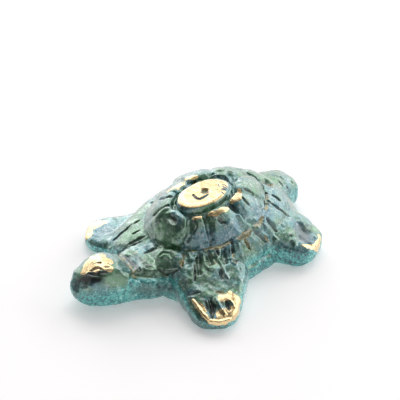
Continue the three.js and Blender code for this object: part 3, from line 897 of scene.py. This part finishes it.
# %% Blocks of the skirt
BLOCK_CUTS = [
    Cut([(6.9, -12.0), (9.4, -15.0)], 0.6, 0.4, 0.1, 1.0),
    Cut([(9.7, -9.2), (12.0, -11.3), (13.9, -13.0)], 1.1, 1.1, 0.4, 0),
    Cut([(10.6, -11.4), (12.6, -13.5), (14.7, -15.5)], 0.5, 0.6, 0.9, 0.4),
    Cut([(9.4, -7.2), (11.3, -9.0), (12.9, -10.1), (14.8, -10.5), (15.5, -9.7)], 0.6, -0.4, 0, 0),
    Cut([(11.4, -7.4), (13.7, -8.6)], 1.5, 0.9, 0.3, 0.6),
    Cut([(12.0, -4.9), (13.2, -5.3)], 0.55, 0.7, 1.0, 0.3),
    Cut([(12.2, -5.6), (13.3, -6.0), (15.7, -6.9), (18.0, -8.1), (19.9, -8.5)], 0.6, -0.45, 0, 0.2),
    Cut([(13.1, -3.5), (16.0, -5.7)], 1.3, 0.9, 0.3, 0.2),
    Cut([(12.8, -0.8), (14.8, -2.6), (17.3, -4.4), (18.3, -3.9)], 0.55, -0.4, 0, 0.3),
    Cut([(12.7, 0.0), (15.0, -1.7)], 0.6, 0.9, 1.0, 0.4),
    Cut([(15.4, -1.9), (17.7, -3.5)], 0.9, 0.3, 0, 1.0),
    Cut([(14.2, 1.0), (15.7, 0.6), (16.6, 1.3)], 1.1, -0.4, 0, 0),
    Cut([(14.2, 3.6), (15.9, 3.9)], 0.7, 0.8, 0.3, 0.9),
    Cut([(13.8, 4.6), (15.1, 6.0), (16.3, 7.7)], 0.9, -0.6, 0, 0),
    Cut([(13.6, 7.3), (14.9, 8.5), (16.2, 10.0)], 0.9, 0.8, 0.6, 0.6),
    Cut([(13.3, 11.1), (14.9, 12.0), (17.0, 12.7)], 1.0, -0.6, 0, 0),
    Cut([(12.9, 13.5), (14.3, 13.9), (15.5, 14.4)], 0.9, 0.8, 0.8, 0.4),
    Cut([(15.4, 10.0), (16.2, 10.5)], 0.6, 0.1, 0, 1.0),
    Cut([(17.2, -8.7), (18.8, -9.8)], 0.8, 0.5, 0.6, 0.6),
    Cut([(16.0, -19.3), (17.7, -17.0)], 0.7, 0.3, 0.6, 0.6),
    Cut([(21.0, -13.4), (22.0, -12.5)], 0.6, 0.2, 0.1, 0.9),
]
print("strokes on the skirt:", len(BLOCK_CUTS))

# %% [markdown]
# ## Front foot and head
# The front left foot has a raised rim and dark pockets between its toes. The head is plain: a dark
# muzzle, a few small cuts in the rubbed brow, and a valley with ochre dirt and painted shade where the head
# meets the neck. A stroke on an upright wall has heights of its own, as at the tip of the muzzle, because
# it can't be laid on from above.

# %% Front foot and head
TOE_CUTS = [
    Cut([(17.9, -19.3), (21.5, -20.1), (25.0, -20.5)], 0.6, -0.35, 0, 0),  # rim of the foot
    Cut([(25.0, -20.5), (27.0, -18.7), (28.0, -15.6)], 0.7, -0.35, 0, 0),
    Cut([(20.7, -17.6), (22.7, -18.6)], 0.7, 0.45, 0.9, 0.4),  # pockets, with ridges between them
    Cut([(21.3, -16.5), (23.2, -17.4), (24.9, -19.2)], 1.2, 0.9, 1.0, 0.1),
    Cut([(21.8, -15.2), (24.2, -15.8), (26.4, -16.1)], 0.8, -0.45, 0, 0),
    Cut([(24.1, -13.5), (26.1, -14.4)], 0.8, 0.6, 0.9, 0.3),
    Cut([(24.5, -12.5), (26.6, -12.7)], 0.5, -0.3, 0, 0),
]
HEAD_CUTS = [
    Cut([(-6.0, -37.2), (-5.3, -35.7), (-2.9, -34.3), (-1.0, -32.3)], 1.6, 0.15, 1.0, 0.3),  # dark muzzle
    Cut([(-5.7, -36.8), (-3.2, -35.9), (-1.2, -34.6)], 2.2, 0.2, 1.0, 0.1),
    Cut([(-5.6, -38.9, 5.5), (-6.4, -37.6, 8.0)], 2.2, 0, 0.6, 0.2),
    Cut([(-2.2, -36.5), (-1.8, -36.1)], 1.0, -0.3, 0, 0),
    Cut([(-4.8, -35.1), (-1.6, -34.1)], 0.9, 0.3, 0.6, 0.6),  # under the brow
    Cut([(-4.8, -34.2), (-3.6, -32.9), (-2.3, -32.4)], 0.7, 0.3, 0.2, 1.0),  # cuts in the brow
    Cut([(-2.4, -31.4), (-1.6, -30.3)], 0.8, 0.35, 0.2, 1.0),
    Cut([(-4.9, -31.6), (-4.1, -31.0)], 0.4, 0.3, 0, 1.0),
    Cut([(-3.0, -29.6), (-2.6, -29.3)], 0.4, 0.3, 0, 1.0),
    # the valley where the head meets the neck: ochre dirt, and darkening that is partly painted shade
    Cut([(-8.5, -21.6), (-5.5, -22.3), (-2.0, -23.3), (0.4, -24.0), (2.4, -25.0)], 1.1, 0.6, 0.5, 1.0),
    Cut([(-5.4, -21.4), (-1.6, -22.2), (1.4, -22.9)], 1.4, 0.4, 0.9, 0),
]
print("strokes on front foot and head:", len(TOE_CUTS), len(HEAD_CUTS))

# %% [markdown]
# ## Rear and far side
# A pit lies above the tail, strokes run over the rear of the skirt, and the top of the hind foot is a flat
# plane darkened with painted shade, with a ridge beside it. The photograph hides the far side, so that is a
# guess: it is stroked like the near side.

# %% Rear and far side
REAR_CUTS = [
    Cut([(1.9, 24.2), (3.0, 24.5)], 2.0, 1.3, 0.8, 0.2),  # pit above the tail
    Cut([(2.9, 24.9), (3.5, 25.0)], 0.7, 0.2, 0, 2.0),  # ochre inside it, stronger than the soot and painted shade
    Cut([(5.4, 20.3), (6.1, 20.4)], 0.6, 0.5, 0.9, 0.3),  # strokes of the skirt
    Cut([(8.8, 18.2), (11.5, 19.5), (13.1, 21.7)], 0.55, 0.5, 0.9, 0.3),
    Cut([(7.0, 21.4), (9.6, 22.1)], 0.5, 0.45, 0.9, 0.2),
    Cut([(-1.2, 33.3), (0.8, 33.1)], 0.45, 0.3, 0.7, 0),  # strokes of the tail
    Cut([(0.4, 31.1), (2.3, 30.8)], 0.45, 0.3, 0.7, 0),
    Cut([(2.6, 32.1), (3.2, 32.0)], 0.35, 0.25, 0.6, 0),
    Cut([(1.5, 35.2), (2.2, 35.1)], 0.35, 0.25, 0.6, 0),
    Cut([(18.0, 22.3), (20.4, 20.3)], 3.8, 0.4, 0.75, 0),  # painted shade on the flat top of the hind foot
    Cut([(15.2, 21.5), (18.2, 18.2), (21.0, 15.8)], 1.2, -0.5, 0, 0),  # and the ridge beside it
]
FAR_STROKES = [
    [(-13.9, 13.5), (-15.3, 13.9), (-16.5, 14.4)],
    [(-14.6, 7.3), (-15.9, 8.5), (-17.2, 10.0)],
    [(-13.7, 0.0), (-16.0, -1.7)],
    [(-9.8, 18.2), (-12.5, 19.5), (-14.1, 21.7)],
    [(-8.0, 21.4), (-10.6, 22.1)],
]
FAR_CUTS = [Cut(path, 0.55, 0.5, 0.85, 0.2) for path in FAR_STROKES]
print("strokes on rear and far side:", len(REAR_CUTS), len(FAR_CUTS))

# %% [markdown]
# ## Painted shade, rubbed spots and crust
# Not all colour follows the strokes. Painted shade darkens the wall beside the neck and under the front
# foot, with two darker patches on the sides; the brow, the lips round the crown and the edges of the feet
# are rubbed bright, the crust climbs higher beside the neck, and some patches of patina are bluer or
# greener. They are lines with a radius too, so that one rule paints all.

# %% Painted shade, rubbed spots and crust
# painted shade on the wall beside the neck and under the front foot, and two darker patches on the sides
PAINTED_SHADE_PATCHES = [
    Cut([(3.5, -25.0, 5.0), (6.5, -20.8, 4.5), (11.5, -18.2, 4.5)], 5.0, 0, 0.7, 0),
    Cut([(17.5, -2.5), (17.8, 1.0)], 3.0, 0, 0.4, 0),
    Cut([(-21.0, -14.5), (-19.0, -12.5)], 3.5, 0, 0.3, 0),
    Cut([(13.0, -19.0, 2.5), (20.0, -22.0, 2.0), (26.0, -21.8, 1.5), (29.0, -17.0, 1.5)], 3.4, 0, 0.65, 0),
]
RUBBED_HEAD = [
    ([(-6.4, -35.0), (-7.2, -32.2), (-6.2, -29.5), (-3.1, -28.9)], 2.3),
    ([(-5.6, -33.6), (-3.6, -31.9), (-1.5, -30.5)], 2.2),
]
RUBBED_LIPS = [
    ([(4.7, -5.9), (5.4, -4.9)], 1.1),
    ([(6.0, -2.9), (6.9, -2.1), (7.7, -1.2), (8.1, 0.6), (8.0, 3.3)], 1.0),
    ([(6.9, 5.8), (7.1, 7.0), (6.4, 9.0), (4.6, 11.0)], 1.4),
    ([(-9.0, -2.1), (-8.1, -0.4), (-7.9, 2.1)], 1.6),
    ([(-8.6, 3.8), (-6.5, 5.9)], 1.2),
]
RUBBED_FEET = [
    ([(17.9, -19.3), (21.5, -20.1), (25.0, -20.5)], 0.8),
    ([(20.0, -19.0), (22.6, -19.4)], 0.8),
    ([(25.0, -20.5), (27.0, -18.7), (28.0, -15.6)], 1.3),
    ([(26.0, -16.9), (27.0, -14.3)], 2.2),
    ([(22.9, -13.8), (24.0, -11.9), (25.5, -10.9), (26.6, -11.2), (27.7, -13.5), (28.0, -15.6)], 2.2),
    ([(-24.3, -17.7), (-26.4, -15.8), (-26.5, -13.8), (-25.2, -11.4)], 2.3),
    ([(23.3, 19.7), (23.4, 22.5), (21.9, 24.8)], 1.6),
    ([(22.1, 17.8), (23.3, 19.7)], 0.9),
    ([(-24.4, 20.2), (-24.5, 22.8), (-23.0, 25.0)], 1.6),
]
CRUSTED = [([(-1.0, -29.5, 4.0), (3.5, -25.0, 5.0), (6.5, -20.8, 5.0), (10.5, -18.2, 5.0)], 4.6)]
TINTED = [  # the last number: how much bluer (below zero) or greener (above)
    ([(0.5, -13.0), (3.5, -13.2)], 4.5, 0.2),
    ([(3.5, -16.5), (6.5, -16.5)], 4.0, 0.12),
    ([(-0.6, -33.3), (0.9, -31.0)], 3.5, 0.2),
    ([(8.5, -7.0), (10.5, -4.0)], 3.0, -0.15),
    ([(11.5, -1.5), (12.0, 2.0)], 3.0, -0.12),
    ([(17.3, 21.7), (21.8, 21.7)], 4.0, -0.25),
    ([(23.0, -15.4), (26.0, -15.9)], 1.6, -0.15),
    ([(-2.1, -36.2), (-2.0, -36.0)], 1.5, -0.2),
]
RUBBED = RUBBED_HEAD + RUBBED_LIPS + RUBBED_FEET
print("rubbed spots:", len(RUBBED), "tinted patches:", len(TINTED))

# %% [markdown]
# ## How a stroke lies on the wax
# A line in plan is first laid on the wax from above: each of its points takes the height of the wax under
# it. A stroke's strength then falls off softly with the distance from its line. A little wobble and ends
# that taper make it look like the work of a hand.

# %% How a stroke lies on the wax
FACES_UP = 0.05  # upward share of the normal from which wax can be reached from above
LAID_WITHIN = 0.15
WOBBLE = 0.25
STROKE_REACH = 1.4  # radii, with room for the wobble
TAPER = 1.5  # radii


def normals_of(piece):
    flat = np.empty(len(piece.data.vertices) * 3, np.float32)
    piece.data.vertex_normals.foreach_get("vector", flat)
    return flat.reshape(-1, 3).astype(float)


wax_points, wax_normals = points_of(wax) / MM, normals_of(wax)
top_points = wax_points[wax_normals[:, 2] > FACES_UP]


def laid(path):
    """A line on the wax. One that has heights of its own keeps them."""
    if len(path[0]) == 3:
        return np.array(path, float)
    heights = []
    for point in path:
        away = np.linalg.norm(top_points[:, :2] - point, axis=1)
        heights.append(top_points[away < away.min() + LAID_WITHIN, 2].max())
    return np.column_stack([np.array(path, float), heights])


def along_path(points, path):
    """Distance of every point to a broken line, in as many dimensions as the line has."""
    path = np.array(path, float)
    best = np.full(len(points), np.inf)
    for start, end in zip(path, path[1:]):
        run = end - start
        share = np.clip((points - start) @ run / (run @ run), 0, 1)
        best = np.minimum(best, np.linalg.norm(points - start - share[:, None] * run, axis=1))
    return best


def bowl(distance, radius):
    """1 in the middle of a dent, falling softly to 0 at its radius."""
    return np.clip(1 - (distance / radius) ** 2, 0, 1) ** 2


def wobble(points):
    """A soft irregular number between -1 and 1 for every point, from crossing waves about 3 mm long."""
    x, y, z = points.T
    return (np.sin(2.1 * x + 1.3 * np.sin(1.7 * y)) + np.sin(1.9 * y + 1.1 * np.sin(2.3 * z + x))) / 2


def near(path, radius):
    """1 on a line, falling softly to 0 at the radius, for every point of the wax."""
    path = laid(path)
    strength = np.zeros(len(wax_points))
    reach = STROKE_REACH * radius
    close = np.all((wax_points > path.min(0) - reach) & (wax_points < path.max(0) + reach), axis=1)
    here = wax_points[close]
    distance = along_path(here, path) * (1 + WOBBLE * wobble(here))
    if np.linalg.norm(path[-1] - path[0]) > TAPER * radius:
        to_end = np.minimum(*(np.linalg.norm(here - end, axis=1) for end in (path[0], path[-1])))
        distance /= 0.5 + 0.5 * np.clip(to_end / (TAPER * radius), 0, 1)
    strength[close] = bowl(distance, radius)
    return strength


print("points that a stroke can be laid on:", len(top_points))

# %% [markdown]
# ## Carving
# All strokes are made in one go: where two cross, the deeper one wins, as it does in wax. Wax is pushed
# in or drawn out along its normals, and then kept above the floor and below the top of the crown. Ochre
# reaches twice as far as its stroke, but not where soot and painted shade darken it.

# %% Carve
SHELL_TOP = 20.4  # just under the top of the crown
OCHRE_SPREAD = 2.0  # radii of the stroke
CUTS = DOME_CUTS + GROOVE_CUTS + FRONT_CUTS + BLOCK_CUTS + TOE_CUTS + HEAD_CUTS
CUTS += REAR_CUTS + FAR_CUTS + PAINTED_SHADE_PATCHES

dent, raised, dark, ochre = np.zeros((4, len(wax_points)))
for cut in CUTS:
    strength = near(cut.path, cut.radius)
    dent = np.maximum(dent, cut.depth * strength)
    raised = np.maximum(raised, -cut.depth * strength)
    dark = np.maximum(dark, cut.dark * strength)
    ochre = np.maximum(ochre, cut.ochre * near(cut.path, OCHRE_SPREAD * cut.radius))
ochre = np.clip(ochre - dark, 0, 1)

carved = wax_points + wax_normals * (raised - dent)[:, None]
carved[:, 2] = np.clip(carved[:, 2], 0, SHELL_TOP)
set_points(wax, carved * MM)
print("strokes:", len(CUTS), "deepest:", round(dent.max(), 2), "mm")

# %% [markdown]
# ## Painting the wax
# Rubbing reaches high spots but not the bottom of a dent. Crust sits on steep walls near the floor. Both
# follow from the shape of the wax and the lines above, so nothing has to be painted by hand.

# %% Paint the wax
RUB_FROM, RUB_FULL = 0.05, 0.35  # strength of a line
RUB_MISSES_FROM, RUB_MISSES_FULL = 0.15, 0.45  # depth of a dent
WALL_FROM, WALL_FULL = 0.75, 0.3  # upward share of the normal
BAND_LOW, BAND_HIGH = 5.0, 8.5  # heights between which the crust fades
CRUST_FROM, CRUST_FULL = 0, 0.3  # strength of a line
CLIMB_FROM, CLIMB_FULL = 0.95, 0.6  # upward share of the normal

rub = np.zeros(len(wax_points))
for path, radius in RUBBED:
    rub = np.maximum(rub, ramp(near(path, radius), RUB_FROM, RUB_FULL))
rub *= 1 - ramp(dent, RUB_MISSES_FROM, RUB_MISSES_FULL)

facing_up = wax_normals[:, 2]
band = (1 - ramp(facing_up, WALL_FULL, WALL_FROM)) * (1 - ramp(wax_points[:, 2], BAND_LOW, BAND_HIGH))
for path, radius in CRUSTED:
    crust = ramp(near(path, radius), CRUST_FROM, CRUST_FULL)
    band = np.maximum(band, crust * (1 - ramp(facing_up, CLIMB_FULL, CLIMB_FROM)))

hue = np.full(len(wax_points), PAINTS["hue"])
for path, radius, change in TINTED:
    hue += change * near(path, radius)

paints = np.stack([rub, dark, ochre, band, hue])
for name, values in zip(PAINTS, paints):
    paint(wax, name, values)
print("share of the wax that is rubbed:", round(rub.mean(), 3), "and crusted:", round(band.mean(), 3))

# %% [markdown]
# ## Cutting the wax apart
# A wire would cut the wax piece by piece. Here plain blocks stand in for the wire: what lies inside a
# block is the piece, and the rest goes on to the next cut. They are boolean cuts, so every piece is
# closed.

# %% Saws and cuts
SAW = {  # share of the limb's length where it is cut off, half width of the saw box
    "head": (0.30, 17.0), "front_left_leg": (0.36, 15.0), "front_right_leg": (0.40, 14.0),
    "hind_left_leg": (0.45, 12.0), "hind_right_leg": (0.45, 12.0), "tail": (0.42, 12.0),
}
SAW_REACH = 30.0
SHELL_CUT = 5.0  # the carapace is cut from the underbody at this height
NUCHAL_ROOM = 0.5  # the raised oval is cut out this much wider


def saw_box(name):
    root, run, ahead = limb_axis(LIMBS[name])
    share, half_width = SAW[name]
    middle = root + share * run + ahead * SAW_REACH / 2
    deselect()
    bpy.ops.mesh.primitive_cube_add(size=1, location=(*(middle * MM), 0),
                                    rotation=(0, 0, math.atan2(ahead[1], ahead[0])))
    box = bpy.context.object
    box.scale = (SAW_REACH * MM, 2 * half_width * MM, 2 * SAW_REACH * MM)
    bpy.ops.object.transform_apply(location=True, rotation=True, scale=True)
    return box


def shell_saw():
    block = slab("shell_saw", cuts=1)
    points = points_of(block)
    x, y = oval(RIM, np.arctan2(points[:, 1], points[:, 0]))
    height = np.where(points[:, 2] > 0, SAW_REACH, SHELL_CUT)
    set_points(block, np.stack([x, y, height], 1) * MM)
    return block


def cut_off(block, name, saw):
    """What lies inside the saw becomes a piece, and the block of wax loses it."""
    piece = block.copy()
    piece.data = block.data.copy()
    piece.name = name + "_bronze"
    bpy.context.scene.collection.objects.link(piece)
    apply(piece, "BOOLEAN", operation="INTERSECT", object=saw, solver="MANIFOLD")
    apply(block, "BOOLEAN", operation="DIFFERENCE", object=saw, solver="MANIFOLD")
    bpy.data.objects.remove(saw)
    return piece


carapace = cut_off(wax, "carapace", shell_saw())
pieces = [cut_off(carapace, name, scute_block(name, cuts=10, rounded=False)) for name in SCUTES]
pieces.append(cut_off(carapace, "nuchal_scute", lump_on_shell(NUCHAL, NUCHAL_ROOM)))
pieces += [cut_off(wax, name, saw_box(name)) for name in LIMBS]
wax.name = "plastron_bronze"
pieces += [carapace, wax]
print("pieces of wax:", len(pieces))

# %% [markdown]
# ## Paint on the pieces
# A boolean cut makes new points along the saw, and these have no paint. So every point of a piece takes
# its paints from the nearest point of the whole turtle. A tree of points finds that quickly.

# %% Paint on the pieces
whole = kdtree.KDTree(len(carved))
for number, point in enumerate(carved * MM):
    whole.insert(point, number)
whole.balance()
for piece in pieces:
    nearest = [whole.find(point)[1] for point in points_of(piece)]
    for name, values in zip(PAINTS, paints[:, nearest]):
        paint(piece, name, values)
    hand_over(piece, "verdigris" if piece is wax else "patina")

# %% [markdown]
# ## Crown
# The bright button in the middle is polished nearly flat, with a round dimple, a hooked cut beside it and
# a few scratches. It has sharper edges than wax that was smoothed, so it is made on its own: half a ball,
# pressed nearly flat on top. The polishing wheel missed one end, which stays dull.

# %% Crown
CROWN_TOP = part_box("crown")[1].z / MM
CROWN_WALL = [(0, 4.0), (0.08, 2.6), (0.16, 1.3), (0.24, 0.6), (0.34, 0.25), (0.6, 0.08), (1, 0)]
CROWN_INSET = [(0, 0.02), (0.08, 0.0), (0.16, 0.01), (0.24, 0.06), (0.34, 0.16), (0.6, 0.5), (1, 1)]
CROWN_DIMPLE, DIMPLE_RADIUS, DIMPLE_DEPTH = (0.0, 2.7), 1.7, 0.9
CROWN_HOOK = [(-0.8, -0.7), (1.0, -1.2), (1.7, -0.75), (1.85, 0.6), (1.7, 2.0)]
HOOK_RADIUS, HOOK_DEPTH = 0.6, 0.4
CROWN_SCRATCHES = [
    [(1.2, 8.2), (1.9, 8.6), (2.4, 8.5)], [(2.6, 6.6), (3.4, 7.1)], [(0.4, 7.4), (1.2, 7.0)],
    [(3.4, 5.6), (4.2, 5.5)], [(2.0, 7.6), (2.5, 7.7)], [(0.2, -6.3), (0.9, -6.2)],
]
SCRATCH_RADIUS, SCRATCH_DEPTH = 0.3, 0.15
CROWN_LUMPS = (2.5, 0.08)  # size and height

crown = half_ball("crown_bronze", segments=240, rings=60)
angle, rise = polar(crown)
shrunk = 1 - np.clip(through(CROWN_INSET, rise), 0, 1)
x, y = oval(CROWN, angle)
plan = np.stack([CROWN.x + (x - CROWN.x) * shrunk, CROWN.y + (y - CROWN.y) * shrunk], 1)
dimple = bowl(np.linalg.norm(plan - CROWN_DIMPLE, axis=1), DIMPLE_RADIUS)
hook = bowl(along_path(plan, CROWN_HOOK), HOOK_RADIUS)
scratches = sum(bowl(along_path(plan, line), SCRATCH_RADIUS) for line in CROWN_SCRATCHES)
marks = DIMPLE_DEPTH * dimple + HOOK_DEPTH * hook + SCRATCH_DEPTH * scratches
height = CROWN_TOP - through(CROWN_WALL, rise) - marks
set_points(crown, np.column_stack([plan, height]) * MM)
uneven(crown, *CROWN_LUMPS)
print("top of the crown:", round(height.max(), 2), "mm")

# %% Polish the crown
DULL_END, DULL_RADIUS, DULLNESS = (3.3, 7.6), 3.2, 0.62  # the end that the polishing wheel missed
POLISH_FROM, POLISH_FULL = 0.2, 0.3  # the way up from the crown's foot
DIMPLE_UNRUBBED, MARK_UNRUBBED = 1.4, 1.5  # how much of the polish is kept out
# darkening of the hook and scratches by soot, and of the dimple by soot and painted shade
DIMPLE_SOOT_AND_SHADE, MOST_SOOT_AND_SHADE = 0.6, 0.9

dull = DULLNESS * bowl(np.linalg.norm(plan - DULL_END, axis=1), DULL_RADIUS)
clean = 1 - np.clip(np.maximum(hook, scratches) * MARK_UNRUBBED + DIMPLE_UNRUBBED * dimple, 0, 1)
paint(crown, "rub", (ramp(rise, POLISH_FROM, POLISH_FULL) - dull) * clean)
paint(crown, "dark", np.clip(hook + scratches + DIMPLE_SOOT_AND_SHADE * dimple, 0, 1) * MOST_SOOT_AND_SHADE)
paint(crown, "ochre", ramp(dimple, 0.1, 0.4))
hand_over(crown, "polished")
